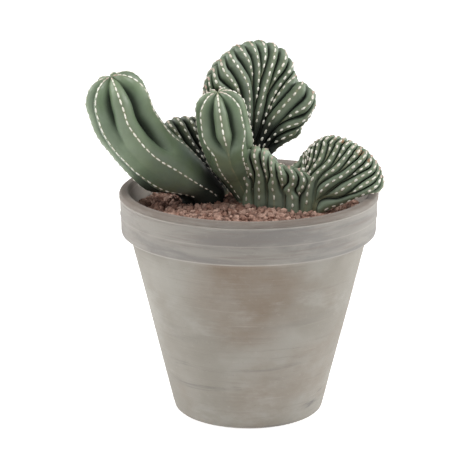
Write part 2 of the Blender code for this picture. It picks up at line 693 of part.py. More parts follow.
def build():
    clear_scene()
    collection = new_collection(NAME)
    cutter_home = new_collection("cutters")
    left, right = left_stems(), right_stems()
    cutters = []
    for number, (stem, _, _) in enumerate(left + right):
        outline = stem.neck_outline(HOLE_CLEARANCE)
        cutters.append(prism(f"neck_hole_{number}", outline, NECK_FOOT - GAP, HOLE_TOP, cutter_home))
    build_pot(collection)
    build_soil(cutters, collection)
    build_grit(cutters, collection)
    skin = material("cactus_skin", (0.11, 0.20, 0.12), 0.55)
    build_clump("left_clump", left, skin, collection)
    build_clump("right_clump", right, skin, collection)


build()
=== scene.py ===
"""Looks of the potted crested fence post cactus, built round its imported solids.

The stems are lofted through rings by the same formulas as their solids, with many more rings, so every ridge
is round and every valley is deep. Wool pads with spines sit on the ridges, and loose grains lie on the grit.
Sizes below are in millimetres from the pot's axis, at the height of its base. Colours are linear.
"""
import itertools
import random
from math import cos, exp, hypot, pi, radians, sin, sqrt

import bpy
import numpy as np
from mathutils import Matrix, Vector, noise


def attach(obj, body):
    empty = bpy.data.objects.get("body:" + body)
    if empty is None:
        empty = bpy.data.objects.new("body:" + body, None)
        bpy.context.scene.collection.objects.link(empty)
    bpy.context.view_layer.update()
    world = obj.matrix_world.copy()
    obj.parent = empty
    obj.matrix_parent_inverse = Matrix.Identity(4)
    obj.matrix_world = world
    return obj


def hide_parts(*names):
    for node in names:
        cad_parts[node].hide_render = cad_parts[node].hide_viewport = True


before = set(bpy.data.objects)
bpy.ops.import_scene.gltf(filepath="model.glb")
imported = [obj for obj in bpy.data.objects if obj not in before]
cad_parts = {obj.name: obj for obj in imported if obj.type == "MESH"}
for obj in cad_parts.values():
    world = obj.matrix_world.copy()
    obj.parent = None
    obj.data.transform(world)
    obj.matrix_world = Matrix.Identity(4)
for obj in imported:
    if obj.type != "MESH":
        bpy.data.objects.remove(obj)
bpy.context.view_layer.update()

MM = 0.001
POT_AXIS_X = 10.777
SEED = 11

# Pot
POT_HEIGHT = 166.5
RIM_RADIUS = 95.0
BAND_HEIGHT = 31.7
BAND_FOOT_RADIUS = 93.3
BODY_TOP_RADIUS = 86.9
FOOT_RADIUS = 55.5
LIP_RADIUS = 87.6
WALL = 7.2
FLOOR = 10.0
DRAIN_RADIUS = 8.0
POT_COLUMNS = 160
BAND_STEP = 1.4
BODY_STEP = 3.2

# Filling
GAP = 0.35
SOIL_TOP = 139.0
GRIT_CENTRE_TOP = 155.0
GRIT_WALL_TOP = 149.5
MOUND = 0.9
BED_RINGS = 44
BED_COLUMNS = 128
BED_BUMP = 0.8
NECK_FOOT = 131.0
GRAIN_COUNT = 1900
GRAIN_SIZES = (1.3, 1.6, 1.9, 2.1, 2.4, 2.8)
BIG_GRAIN_EVERY = 37
HIGH_GRAIN_EVERY = 9

# Steps between two given points of a curve, rows of a column's spine and columns of a fan's sheet, the
# distance to either side over which a fan's facing is averaged, and the length and rows of a ridge's count
CURVE_STEPS = 32
SPINE_ROWS = 201
SHEET_COLUMNS = 241
FOLD_EASE = 7.0
RIDGE_LENGTH = 260.0
RIDGE_ROWS = 521

# Ribs of a crest fork on their way up: every second rib is born last, every second one of the rest before
# it, and so on, and each widens over a run. Ridges closer than the crowded distance bear no areoles
FORKS = [(0.48, 0.68), (0.28, 0.44), (0.1, 0.24)]
FRONT_FORKS = [(0.3, 0.55)]
LOW_FORKS = [(0.55, 0.74), (0.3, 0.5), (0.1, 0.24)]
WIDENING = 0.4
NEWBORN = 0.04
CROWDED = 3.2
BEARING_WIDTH = 0.42
LOWEST_AREOLE = 0.04

# Shares of their depth that a stem's valleys have at its foot and at its tip. A slim rib stands lower and a
# wide one has deeper valleys, by these powers of its weight
CREST_FOOT_DEPTH = 0.7
CREST_TIP_DEPTH = 0.6
COLUMN_FOOT_DEPTH = 0.14
COLUMN_TIP_DEPTH = 0.3
SLIM_POWER = 0.6
WIDE_POWER = 0.35

# Skin: the swelling under each areole and its width, the width of the line on each ridge, and the height and
# fineness of soft swellings and of dimples
AREOLE_SWELL = 0.16
SWELL_WIDTH = 2.0
RIDGE_LINE = 0.6
SWELLINGS = (0.42, 0.085)
DIMPLES = (0.12, 0.33)

# Areoles: a pad's greatest half length as a share of its room, then its least and most half length, half
# width and height. Each ring of a pad has shares of its size and height
COLUMN_PAD = (0.52, (1.75, 2.35), (0.5, 0.68))
CREST_PAD = (0.42, (1.45, 1.95), (0.7, 0.95))
PAD_HEIGHT = (0.34, 0.5)
PAD_COLUMNS = 8
PAD_RINGS = ((1.0, -0.35), (0.86, 0.12), (0.5, 0.8))
PAD_RAGGED = (0.86, 1.12)
SPINE_COUNTS = (4, 5, 5, 6)
SPINE_TILT = (0.5, 1.25)
SPINE_RADIUS = 0.085
SPINE_LENGTH = (0.7, 1.6)

# Light: the world's strength from in front and from the sides, the floor's glow, and each lamp's place, size
# in metres and power in watts
FRONT_LIGHT = 0.13
SIDE_LIGHT = 1.2
FLOOR_GLOW = 0.5
WHITE = (1.0, 1.0, 1.0, 1.0)
LAMPS = [("left_box", (-1.2, 0.2, 0.85), 0.8, 11.0), ("right_box", (1.2, 0.2, 0.75), 0.8, 12.0),
         ("top_box", (0.0, -0.3, 1.4), 0.6, 9.0)]

# Camera: its distance from the point that it looks at, its angle above the floor in degrees, and its lens
CAMERA_DISTANCE = 1500.0
CAMERA_TILT = 16.12
CAMERA_AIM = (-10.1, 0.0, 131.1)
LENS = 156.1

UP = np.array([0.0, 0.0, 1.0])
BACK = np.array([0.0, 1.0, 0.0])
RIGHT = np.array([1.0, 0.0, 0.0])


def ease(value, low, high):
    """A smooth step from 0 at low to 1 at high."""
    t = np.clip((value - low) / (high - low), 0.0, 1.0)
    return t * t * (3.0 - 2.0 * t)


def ramp(value, low, high, start, end):
    """A smooth change from start at low to end at high."""
    return start + (end - start) * ease(value, low, high)


def unit(vectors):
    return vectors / np.maximum(np.linalg.norm(vectors, axis=-1, keepdims=True), 1e-9)


def steps(points):
    """Distances from each point to the next."""
    return np.linalg.norm(np.diff(points, axis=0), axis=-1)


def ring_pairs(count):
    """Each place round a closed ring, with the next one."""
    return [(k, (k + 1) % count) for k in range(count)]


def ring_angles(count):
    return [2.0 * pi * k / count for k in range(count)]


def read_rows(places, rows, wanted):
    """Rows at the wanted places, on straight lines between the rows at the known places."""
    return np.column_stack([np.interp(wanted, places, rows[:, k]) for k in range(rows.shape[1])])


def read_path(path, shares):
    """Rows of a path at shares of its length, from 0 to 1."""
    return read_rows(np.linspace(0.0, 1.0, len(path)), path, shares)


def smooth_path(points, count):
    """Rows evenly spaced, by their first three values, on a smooth curve through a few rows."""
    rows = np.array(points, float)
    rows = np.vstack([2 * rows[0] - rows[1], rows, 2 * rows[-1] - rows[-2]])
    t = np.linspace(0.0, 1.0, CURVE_STEPS, endpoint=False)[:, None]
    pieces = []
    for a, b, c, d in zip(rows[:-3], rows[1:-2], rows[2:-1], rows[3:]):
        pieces.append(0.5 * (2 * b + (c - a) * t + (2 * a - 5 * b + 4 * c - d) * t ** 2
                             + (3 * b - a - 3 * c + d) * t ** 3))
    fine = np.vstack(pieces + [rows[-2][None]])
    run = np.r_[0.0, np.cumsum(steps(fine[:, :3]))]
    return read_rows(run, fine, np.linspace(0.0, run[-1], count))


def rise_and_turn(station):
    """A station's share of the way up a stem, and its angle round the stem's end."""
    return min(max(station, 0.0), 1.0), max(station - 1.0, 0.0) * pi / 2.0


class Ribs:
    """The cells round a ring. Cell 0 has its ridge at place 0, and each cell's weight is its share of room.

    Power and fullness shape a rib's cross-section. A higher crease makes the painted shade in its valleys
    narrower.
    """

    def __init__(self, count, weight_at, depth_at, power, fullness, crease, keep_at=None):
        self.count, self.weight_at, self.depth_at, self.keep_at = count, weight_at, depth_at, keep_at
        self.power, self.fullness, self.crease = power, fullness, np.broadcast_to(crease, count)

    def kept(self, station, columns):
        """The share of its depth that each column's valley keeps. Valley 0 lies after ridge 0."""
        if not self.keep_at:
            return np.ones(columns)
        shares = np.array([self.keep_at(valley, station) for valley in range(self.count)])
        return shares[np.arange(columns) * self.count // columns]

    def columns(self, station, per_cell):
        """Weights, places across the cell (-1 to 1) and running room for one ring's columns."""
        weights = np.array([self.weight_at(cell, station) for cell in range(self.count)])
        middles = np.r_[0.0, np.cumsum((weights + np.roll(weights, -1)) / 2.0)]
        place = np.arange(self.count * per_cell) / per_cell
        nearest = np.floor(place + 0.5).astype(int)
        across = (place - nearest) * 2.0
        index = nearest % self.count
        room = middles[nearest] + across * weights[index] / 2.0
        return weights[index], across, room, middles

    def carve(self, station, points, outward, weights, across):
        """One ring, sunk below the ridges' level. A ring under the foot goes down to the root."""
        share = (1.0 - np.abs(across) ** self.power) ** self.fullness
        share = share * np.minimum(weights, 1.0) ** SLIM_POWER
        depth = self.depth_at(station) * self.kept(station, len(across))
        sink = depth * np.maximum(weights, 1.0) ** WIDE_POWER * (1.0 - share)
        points = points - sink[:, None] * outward
        if station < 0:
            points[:, 2] = points[:, 2] + (NECK_FOOT - points[:, 2]) * -station
        return points, outward, weights, across


class Crest:
    """A fan. Station 0 is its foot, 1 where its top starts to round over, 2 its growth line, -1 its root.

    A growth row has a place on the growth line, and then where the rib below it bends to, from its foot: how
    far back, how high as a share of the rib's reach, and how far right.
    """

    def __init__(self, growth, foot, cells, half_foot, half_top, crown, depth, seed, forks=FORKS,
                 widths=((0.0, 1.0),)):
        start, end = np.array(foot)
        shares = np.linspace(0.0, 1.0, len(growth))[:, None]
        path = smooth_path(np.hstack([growth, start + (end - start) * shares]), SHEET_COLUMNS)
        top, self.foot = path[:, :3], path[:, 6:9]
        reach = np.linalg.norm(top - self.foot, axis=1)[:, None]
        self.guide = self.foot + BACK * path[:, 3:4] + UP * path[:, 4:5] * reach + RIGHT * path[:, 5:6]
        self.growth = top - crown * unit(top - self.guide)
        self.half_foot, self.half_top, self.crown = half_foot, half_top, crown
        draw = random.Random(seed)
        births = []
        for cell in range(cells + 1):
            level = next((n for n in range(len(forks)) if cell % 2 ** (n + 1)), None)
            births.append(0.0 if level is None else draw.uniform(*forks[level]))
        births = births + births[-2:0:-1]
        places, sizes = zip(*widths)

        def weight_at(cell, station):
            born = births[cell]
            grown = ramp(station, born, born + WIDENING, NEWBORN, 1.0) if born else 1.0
            return grown * np.interp(1.0 - abs(1.0 - cell / cells), places, sizes)

        def depth_at(station):
            low_share = ramp(station, 0.0, 0.5, CREST_FOOT_DEPTH, 1.0)
            return depth * low_share * ramp(station, 1.2, 2.0, 1.0, CREST_TIP_DEPTH)

        self.ribs = Ribs(2 * cells, weight_at, depth_at, power=2.9, fullness=0.62, crease=2.4)

    def sheet(self, rise):
        """The fan's middle sheet at one height: points, and directions up the ribs and to the front."""
        middle = (1 - rise) ** 2 * self.foot + 2 * rise * (1 - rise) * self.guide + rise ** 2 * self.growth
        rising = unit(2 * (1 - rise) * (self.guide - self.foot) + 2 * rise * (self.growth - self.guide))
        normal = unit(np.cross(np.gradient(middle, axis=0), rising))
        reach = int(SHEET_COLUMNS * FOLD_EASE / steps(middle).sum())
        reach = min(max(reach, 1), SHEET_COLUMNS // 4)
        padded = np.vstack([normal[:1]] * reach + [normal] + [normal[-1:]] * reach)
        sums = np.vstack([np.zeros(3), np.cumsum(padded, axis=0)])
        normal = unit(sums[2 * reach + 1:] - sums[:-2 * reach - 1])
        at_foot = unit(np.cross(self.foot[-1] - self.foot[0], UP))
        share = ease(rise, 0.0, 0.55)
        normal = unit(normal * share + at_foot * (1.0 - share))
        return middle, rising, unit(normal - rising * np.sum(normal * rising, axis=1)[:, None])

    def ring(self, station, per_cell):
        """Points, outward directions, weights and places across for one ring."""
        weights, across, room, middles = self.ribs.columns(station, per_cell)
        rise, turn = rise_and_turn(station)
        middle, rising, normal = self.sheet(rise)
        half = ramp(rise, 0.0, 0.9, self.half_foot, self.half_top)
        edge_radius = max(half * cos(turn), 1e-6)
        edge = edge_radius * pi / 2.0
        length = steps(middle).sum()
        share = (room / middles[-1] * 2.0) % 2.0
        sign = np.where(share <= 1.0, 1.0, -1.0)[:, None]
        run = np.where(share <= 1.0, share, 2.0 - share) * (2.0 * edge + length)
        along = np.clip((run - edge) / length, 0.0, 1.0)
        past = np.clip(edge - run, 0.0, edge) - np.clip(run - edge - length, 0.0, edge)
        bend = (past / edge_radius)[:, None]
        middle, rising, normal = (read_path(rows, along) for rows in (middle, rising, normal))
        rising, normal = unit(rising), unit(normal)
        edgewise = np.cross(rising, normal)
        facing = np.cos(bend) * normal * sign - np.sin(bend) * edgewise
        outward = cos(turn) * facing + sin(turn) * rising
        points = middle + half * cos(turn) * facing + self.crown * sin(turn) * rising
        return self.ribs.carve(station, points, outward, weights, across)

    def neck(self):
        """Centre points and radius that hold the neck, for keeping grains out of it."""
        share = np.linspace(0.0, 1.0, 9)[:, None]
        return self.foot[0] * (1 - share) + self.foot[-1] * share, self.half_foot


class Column:
    """A ribbed stem round a spine. Station 0 is its foot, 1 where its dome starts, 2 its tip, -1 its root.

    A spine row has a place and a radius. The twist, in degrees, is how far its rows turn on their way up.
    """

    def __init__(self, spine, cells, first_angle, twist, dome, depth, weight_at, keep_at):
        self.path = smooth_path(spine, SPINE_ROWS)
        self.first_angle, self.twist, self.dome = radians(first_angle), radians(twist), dome

        def depth_at(station):
            low_share = ramp(station, 0.35, 0.95, COLUMN_FOOT_DEPTH, 1.0)
            return depth * low_share * ramp(station, 1.25, 2.0, 1.0, COLUMN_TIP_DEPTH)

        crease = [3.2, 1.4] + [2.1] * (cells - 3) + [1.4]
        self.ribs = Ribs(cells, weight_at, depth_at, power=1.6, fullness=0.75, crease=crease,
                         keep_at=keep_at)

    def ring(self, station, per_cell):
        """One ring, as for a fan."""
        weights, across, room, middles = self.ribs.columns(station, per_cell)
        rise, turn = rise_and_turn(station)
        nearby = np.clip([rise - 0.02, rise, rise + 0.02], 0.0, 1.0)
        behind, centre, ahead = read_path(self.path, nearby)
        lean = ease(station, 0.0, 0.5)
        axis = unit(UP * (1.0 - lean) + unit((ahead - behind)[:3]) * lean)
        front = unit(np.cross(axis, np.cross(axis, BACK)))
        side = np.cross(axis, front)
        first_angle = self.first_angle + ramp(station, -0.2, 0.75, self.twist, 0.0)
        angle = (first_angle + room / middles[-1] * 2.0 * pi)[:, None]
        facing = np.cos(angle) * front + np.sin(angle) * side
        outward = cos(turn) * facing + sin(turn) * axis
        dome = self.dome * ramp(station, 1.55, 2.0, 1.0, 0.93)
        points = centre[:3] + centre[3] * cos(turn) * facing + dome * sin(turn) * axis
        return self.ribs.carve(station, points, outward, weights, across)

    def neck(self):
        return self.path[:1, :3], self.path[0, 3]


def upright(places, height):
    """Growth rows whose ribs bend straight over their foot, all at one share of their reach."""
    return [(*place, 0.0, height, 0.0) for place in places]


STEM_FOOT = 157.0
STALK_TOP = 176.0

LEFT_SPINE = [(-34, 13, STEM_FOOT, 16.5), (-38, 12, 162.5, 19.2), (-48, 7.5, 170.5, 21.2),
              (-60, 1.5, 182.2, 22.5), (-74, -5.5, 198, 22.9), (-88, -10.5, 219, 24),
              (-93, -13, 234.5, 24)]
CLUB_SPINE = [(0, 4, STEM_FOOT, 9.5), (-3.5, 3.5, 166, 12), (-8.5, 1, 179, 14.5),
              (-13.3, -6, 192.5, 17.2), (-16, -12, 205, 18.8), (-18.5, -15.5, 216.5, 19.3),
              (-20.3, -17.5, 228, 18.5)]

SMALL_GROWTH = upright([(-65, 8, 199), (-65, 14, 208), (-58, 20, 213.5), (-48.5, 25, 215),
                        (-39, 29, 213), (-30, 33, 207), (-23, 37, 197)], 0.2)
SMALL_FOOT = ((-29, 20, STEM_FOOT), (-19.5, 32, STEM_FOOT))

TALL_GROWTH = [(-32, 0, 227, 9, 0.34, 3), (-33, -7, 239, 11, 0.36, 6),
               (-30, -10, 250.5, 11, 0.4, 8), (-23, -7, 261, 9, 0.48, 9),
               (-11, 4, 270, 6, 0.62, 10), (2, 15, 273, 3, 0.66, 9),
               (14, 23, 271, 0, 0.6, 7), (25, 26, 265, 0, 0.54, 5),
               (32.5, 26, 254, 0, 0.48, 3), (35.5, 20, 243.5, 2, 0.44, 1),
               (42, 12, 242, 4, 0.42, 0), (48.5, 8, 233.5, 4, 0.42, 0),
               (47.5, 9, 223.5, 3.5, 0.42, 0), (43.5, 11, 216.5, 1.5, 0.42, 0),
               (38, 13, 211, 0, 0.42, 0)]
TALL_FOOT = ((-4, 16, STALK_TOP), (6, 16, STALK_TOP))

FRONT_GROWTH = upright([(-7.5, -8, 182), (-7, -13, 192), (-1.5, -16.5, 199.5), (7.5, -17.5, 201.5),
                        (15, -17.5, 196), (20, -17, 190), (26, -17.5, 187.5), (34, -18, 186.5),
                        (41, -17, 183)], 0.4)
FRONT_FOOT = ((-1, -2, STEM_FOOT), (35, -13.5, STEM_FOOT))

LOW_GROWTH = [(36.5, -9, 189, 0, 0.3, 0), (41.5, -5.5, 197, 0, 0.3, 0),
              (49, -5, 203.5, 0, 0.3, 0), (57.5, -7.5, 208, 0, 0.28, 0),
              (66.5, -11.5, 208, 0, 0.26, 0), (75.5, -15.5, 205, 0, 0.24, 0),
              (84.5, -20, 200, 0, 0.23, 1), (93.5, -24.5, 189, 0, 0.18, 4),
              (96, -29, 180, 0, 0.11, 9)]
LOW_FOOT = ((36, -11, STEM_FOOT), (50, -15, STEM_FOOT))


def wide_right_face(cell, station):
    """The left column's face to the right of its front rib is its widest."""
    return (1.1, 1.4, 1.0, 1.0, 1.0, 1.0, 1.0)[cell]


def uneven_valleys(valley, station):
    """The left column's valley left of its front rib is short, and the one right of it is long and blunt.

    Valley 5 stays deep down to the foot, where it runs along the column's underside.
    """
    if valley == 5:
        return ramp(station, 0.35, 0.8, 4.2, 1.0)
    if valley == 6:
        return ramp(station, 0.72, 1.02, 0.15, 1.0)
    if valley == 0:
        return ramp(station, 0.7, 0.95, 1.45, 1.0) * ramp(station, 0.46, 0.6, 0.3, 1.0)
    return 1.0


def short_middle_rib(cell, station):
    """The club's rib that faces front ends half-way up, and its neighbours take its room."""
    return 1.0 if cell else ramp(station, 0.66, 0.86, 0.05, 1.0)


def blunt_valleys(valley, station):
    """The club's valleys beside its middle rib end where that rib does, over a smooth face."""
    return ramp(station, 0.6, 0.8, 0.12, 1.0) if valley in (0, 6) else 1.0


def to_world(points):
    points = np.asarray(points, float)
    return (points + np.array([POT_AXIS_X, 0.0, 0.0])) * MM


def add_object(name, data):
    thing = bpy.data.objects.new(name, data)
    bpy.context.scene.collection.objects.link(thing)
    return thing


def add_piece(name, points, faces, marks, surface, slot, *nodes, smooth=True):
    """A piece in the row's frame from points in millimetres. Its marks, if any, are four numbers a point."""
    mesh = bpy.data.meshes.new(name)
    mesh.from_pydata(to_world(points).tolist(), [], faces)
    mesh.validate()
    if marks is not None:
        layer = mesh.color_attributes.new("marks", "FLOAT_COLOR", "POINT")
        layer.data.foreach_set("color", np.asarray(marks, float).ravel())
    if smooth:
        mesh.shade_smooth()
    mesh.materials.append(surface)
    piece = add_object(name, mesh)
    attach(piece, "root")
    if nodes:
        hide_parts(*nodes)


class Heap:
    """A piece of many small solids. Each solid has one set of shading marks."""

    def __init__(self):
        self.points, self.faces, self.marks = [], [], []

    def add(self, points, faces, marks):
        first = len(self.points)
        self.points.extend(points)
        self.faces.extend([first + corner for corner in face] for face in faces)
        self.marks.extend([marks] * len(points))

    def build(self, name, surface, slot, smooth=True):
        add_piece(name, self.points, self.faces, self.marks, surface, slot, smooth=smooth)


class Spacing:
    """Turns a distance down a ridge into a count of areoles, which stand closer at the growing end."""

    def __init__(self, young, grown, reach):
        self.run = np.linspace(0.0, RIDGE_LENGTH, RIDGE_ROWS)
        pitch = ramp(self.run, 0.0, reach, young, grown)
        self.number = np.r_[0.0, np.cumsum(np.diff(self.run) / pitch[1:])]

    def count(self, run):
        return np.interp(run, self.run, self.number)

    def distance(self, number):
        return np.interp(number, self.number, self.run)


def skin_roughness(point):
    """Uneven flesh, in millimetres: soft swellings and finer dimples."""
    return sum(height * noise.noise(Vector(point) * fineness) for height, fineness in (SWELLINGS, DIMPLES))


def skin_faces(stem, rows, columns):
    """Faces between rings. A fan's last ring is folded shut, and a column's closed round one more point."""
    index = np.arange(rows * columns).reshape(rows, columns)
    if isinstance(stem, Crest):
        index[-1] = index[-1][np.minimum(np.arange(columns), columns - np.arange(columns))]
    index = index.tolist()
    faces = [list(range(columns))[::-1]]
    for low, high in zip(index[:-1], index[1:]):
        faces += [list(dict.fromkeys([low[c], low[d], high[d], high[c]])) for c, d in ring_pairs(columns)]
    faces = [face for face in faces if len(face) > 2]
    if isinstance(stem, Column):
        faces += [[index[-1][c], index[-1][d], rows * columns] for c, d in ring_pairs(columns)]
    return faces


def find_spots(stem, stations, spacing, offsets, run, lines, facings, weights):
    """Each areole's point, directions outward and down the ridge, run, room, and if it is on a column."""
    apart = np.linalg.norm(lines - np.roll(lines, 1, axis=1), axis=2)
    apart = np.minimum(apart, np.roll(apart, -1, axis=1))
    spots = []
    for cell, offset in enumerate(offsets):
        grown = np.flatnonzero((np.array(stations) > LOWEST_AREOLE) & (weights[:, cell] > BEARING_WIDTH))
        if len(grown) < 4:
            continue
        line_run, line, face, beside = (part[grown[0]:, cell][::-1] for part in (run, lines, facings, apart))
        for number in np.arange(offset, spacing.count(line_run[-1]), 1.0):
            at = spacing.distance(number)
            if np.interp(at, line_run, beside) < CROWDED:
                continue
            before, spot, after = read_rows(line_run, line, at + np.array([-0.8, 0.0, 0.8]))
            along = unit(after - before)
            out = read_rows(line_run, face, [at])[0]
            out = unit(out - along * (out @ along))
            room = spacing.distance(number + 0.5) - spacing.distance(number - 0.5)
            spots.append((spot, out, along, at, room, isinstance(stem, Column)))
    return spots


def grow_stem(name, stem, stations, per_cell, spacing, seed, surface, *nodes):
    """Builds a stem's skin as one piece, of some columns per cell, and returns where its areoles go."""
    rings = [stem.ring(station, per_cell) for station in stations]
    points, outward, weights, across = (np.array(part) for part in zip(*rings))
    rows, columns = across.shape
    ribs, cells = stem.ribs, stem.ribs.count
    owner = (np.floor(np.arange(columns) / per_cell + 0.5).astype(int)) % cells
    lateral = np.linalg.norm(points - points[:, owner * per_cell], axis=2)
    draw = random.Random(seed)
    offsets = np.array([draw.uniform(0.25, 0.95) for _ in range(cells)])
    tones = np.array([draw.random() for _ in range(cells)])
    run = np.vstack([np.cumsum(steps(points[:, ::per_cell])[::-1], axis=0)[::-1], np.zeros(cells)])
    swell = 0.5 + 0.5 * np.cos(2.0 * pi * (spacing.count(run) - offsets))[:, owner]
    hump = AREOLE_SWELL * swell * weights * np.exp(-(lateral / SWELL_WIDTH) ** 2)
    uneven = np.array([[skin_roughness(p) for p in row] for row in points])
    above_foot = np.array(stations)[:, None] > 0
    points = points + outward * ((hump + uneven) * above_foot)[:, :, None]

    depths = np.array([ribs.depth_at(s) for s in stations])
    kept = np.array([ribs.kept(s, columns) for s in stations])
    valley = np.abs(across) ** ribs.crease[owner] * np.minimum(weights, 1.0) ** 0.3
    valley = np.minimum(valley * kept * (depths / depths.max())[:, None], 1.0)
    ridge = np.exp(-(lateral / RIDGE_LINE) ** 2)
    rise = np.clip(stations, 0.0, 2.0)[:, None] / 2.0 * np.ones(columns)
    marks = np.dstack([valley, ridge, rise, tones[owner] * np.ones((rows, 1))]).reshape(-1, 4)
    skin = points.reshape(-1, 3)
    if isinstance(stem, Column):
        skin = np.vstack([skin, points[-1].mean(axis=0) - 0.3 * UP])
        marks = np.vstack([marks, [1.0, 0.0, 1.0, 0.5]])
    add_piece(name, skin, skin_faces(stem, rows, columns), marks, surface, "cactus_skin", *nodes)
    on_ridges = (part[:, ::per_cell] for part in (points, outward, weights))
    return find_spots(stem, stations, spacing, offsets, run, *on_ridges)


def grow_areoles(name, spots, seed, wool, spine):
    """Wool pads and their spines along the ridges, as two pieces."""
    draw = random.Random(seed)
    pads, spines = Heap(), Heap()
    size = PAD_COLUMNS
    pad_faces = [[low + a, low + b, low + size + b, low + size + a] for low in (0, size)
                 for a, b in ring_pairs(size)]
    pad_faces += [[2 * size + a, 2 * size + b, 3 * size] for a, b in ring_pairs(size)]
    for point, out, along, run, room, on_column in spots:
        if point[2] < GRIT_WALL_TOP:
            continue
        across = np.cross(out, along)
        young = ramp(run, 1.0, 9.0, 1.0, 0.0)
        share, lengths, widths = COLUMN_PAD if on_column else CREST_PAD
        half_length = min(share * room, draw.uniform(*lengths))
        half_length *= ramp(run, 60.0, 130.0, 1.0, 0.8)
        half_width = draw.uniform(*widths)
        height = draw.uniform(*PAD_HEIGHT)
        tone = draw.random()
        pad = []
        for width, lift in PAD_RINGS:
            for turn in ring_angles(PAD_COLUMNS):
                spread = width * draw.uniform(*PAD_RAGGED)
                pad.append(point + along * half_length * spread * cos(turn)
                           + across * half_width * spread * sin(turn) + out * height * lift)
        pads.add(pad + [point + out * height], pad_faces, (young, tone, 0.0, 1.0))
        for _ in range(draw.choice(SPINE_COUNTS)):
            swing, tilt = draw.uniform(0.0, 2.0 * pi), draw.uniform(*SPINE_TILT)
            aside = along * cos(swing) + across * sin(swing)
            heading = unit(out * cos(tilt) + aside * sin(tilt))
            side = unit(np.cross(heading, along + 0.01 * across))
            other = np.cross(heading, side)
            foot = point + out * height * 0.3 + heading * 0.2
            needle = [foot + (side * cos(turn) + other * sin(turn)) * SPINE_RADIUS
                      for turn in ring_angles(3)]
            needle.append(foot + heading * draw.uniform(*SPINE_LENGTH))
            spines.add(needle, [[0, 1, 3], [1, 2, 3], [2, 0, 3]], (young, draw.random(), 0.0, 1.0))
    pads.build(name + "_wool", wool, "cactus_skin")
    spines.build(name + "_spines", spine, "cactus_skin", smooth=False)


class Nodes:
    """Short calls for building a tree of nodes."""

    def __init__(self, tree):
        self.tree = tree

    def put(self, socket, value):
        if isinstance(value, bpy.types.NodeSocket):
            self.tree.links.new(value, socket)
        else:
            socket.default_value = value

    def fill(self, node, values):
        """Puts a value or a link on each named input of a node."""
        for name, value in values.items():
            self.put(node.inputs[name], value)
        return node

    def node(self, kind, values):
        return self.fill(self.tree.nodes.new(kind), values)

    def step(self, value, low, high, least=0.0, most=1.0):
        """A smooth step of a value, between two levels."""
        values = {"Value": value, "From Min": low, "From Max": high, "To Min": least, "To Max": most}
        node = self.node("ShaderNodeMapRange", values)
        node.interpolation_type = "SMOOTHSTEP"
        return node.outputs["Result"]

    def math(self, kind, a, b=0.0):
        node = self.node("ShaderNodeMath", {0: a, 1: b})
        node.operation = kind
        return node.outputs["Value"]

    def times(self, a, b):
        return self.math("MULTIPLY", a, b)


class Shader(Nodes):
    """One material. Coats are laid over its colour one by one."""

    def __init__(self, name, roughness, specular=0.5):
        self.surface = bpy.data.materials.new(name)
        self.surface.use_nodes = True
        super().__init__(self.surface.node_tree)
        self.main = self.tree.nodes["Principled BSDF"]
        self.fill(self.main, {"Roughness": roughness, "Specular IOR Level": specular})
        self.place = self.node("ShaderNodeTexCoord", {}).outputs["Object"]
        self.colour = None

    def mapped(self, upward, turn=(0.0, 0.0, 0.0)):
        """The place on the object, with its height multiplied, then turned."""
        values = {"Vector": self.place, "Scale": (1.0, 1.0, upward), "Rotation": turn}
        return self.node("ShaderNodeMapping", values).outputs["Vector"]

    def noise(self, scale, detail=3.0, rough=0.5, where=None, warp=0.0):
        values = {"Vector": where or self.place, "Scale": scale, "Detail": detail, "Roughness": rough,
                  "Distortion": warp}
        return self.node("ShaderNodeTexNoise", values).outputs["Fac"]

    def cells(self, scale):
        return self.node("ShaderNodeTexVoronoi", {"Vector": self.place, "Scale": scale}).outputs["Distance"]

    def marks(self):
        """The mesh's shading marks as separate numbers."""
        read = self.node("ShaderNodeAttribute", {})
        read.attribute_name = "marks"
        split = self.node("ShaderNodeSeparateColor", {"Color": read.outputs["Color"]})
        return split.outputs["Red"], split.outputs["Green"], split.outputs["Blue"], read.outputs["Alpha"]

    def mix(self, share, a, b):
        node = self.node("ShaderNodeMix", {})
        node.data_type = "RGBA"
        self.put(node.inputs["Factor"], share)
        colours = [socket for socket in node.inputs if socket.type == "RGBA"]
        for socket, value in zip(colours, (a, b)):
            self.put(socket, (*value, 1.0) if isinstance(value, tuple) else value)
        return next(socket for socket in node.outputs if socket.type == "RGBA")

    def coat(self, share, colour):
        """Lays a colour over the material's colour, by a share."""
        self.colour = self.mix(share, self.colour, colour)

    def distance(self, where, centre):
        node = self.node("ShaderNodeVectorMath", {0: where, 1: centre})
        node.operation = "DISTANCE"
        return node.outputs["Value"]

    def near(self, centre, radius, soft):
        """1 inside a ball round a place on the object, 0 outside it."""
        away = self.distance(self.place, to_world(centre).tolist())
        return self.step(away, radius * MM, (radius + soft) * MM, 1.0, 0.0)

    def bump(self, height, strength, depth, below=None):
        node = self.node("ShaderNodeBump", {"Strength": strength, "Distance": depth, "Height": height})
        if below:
            self.put(node.inputs["Normal"], below)
        return node.outputs["Normal"]

    def finish(self, normal, roughness=None):
        self.fill(self.main, {"Base Color": self.colour, "Normal": normal})
        if roughness:
            self.fill(self.main, {"Roughness": roughness})
        return self.surface


# Deep shade among the stems' feet, and scars: each place with its radius, and how far their edges fade
SHADES = [((-29, 6, 162), 13), ((-24, 20, 176), 13), ((-48, 4, 156), 6),
          ((4, 12, 190), 10), ((-34, 26, 193), 8), ((-70, 6, 168), 11),
          ((-55, 8, 158), 10), ((12, 8, 203), 6)]
SHADE_EDGE = 16.0
SCARS = [((-94.5, -35, 206.5), 1.6), ((62.5, -17.5, 209), 2.2), ((68, -19, 207), 2),
         ((79.5, -24, 200.5), 2.6), ((85.5, -27.5, 195.5), 1.8)]
SCAR_EDGE = 1.4


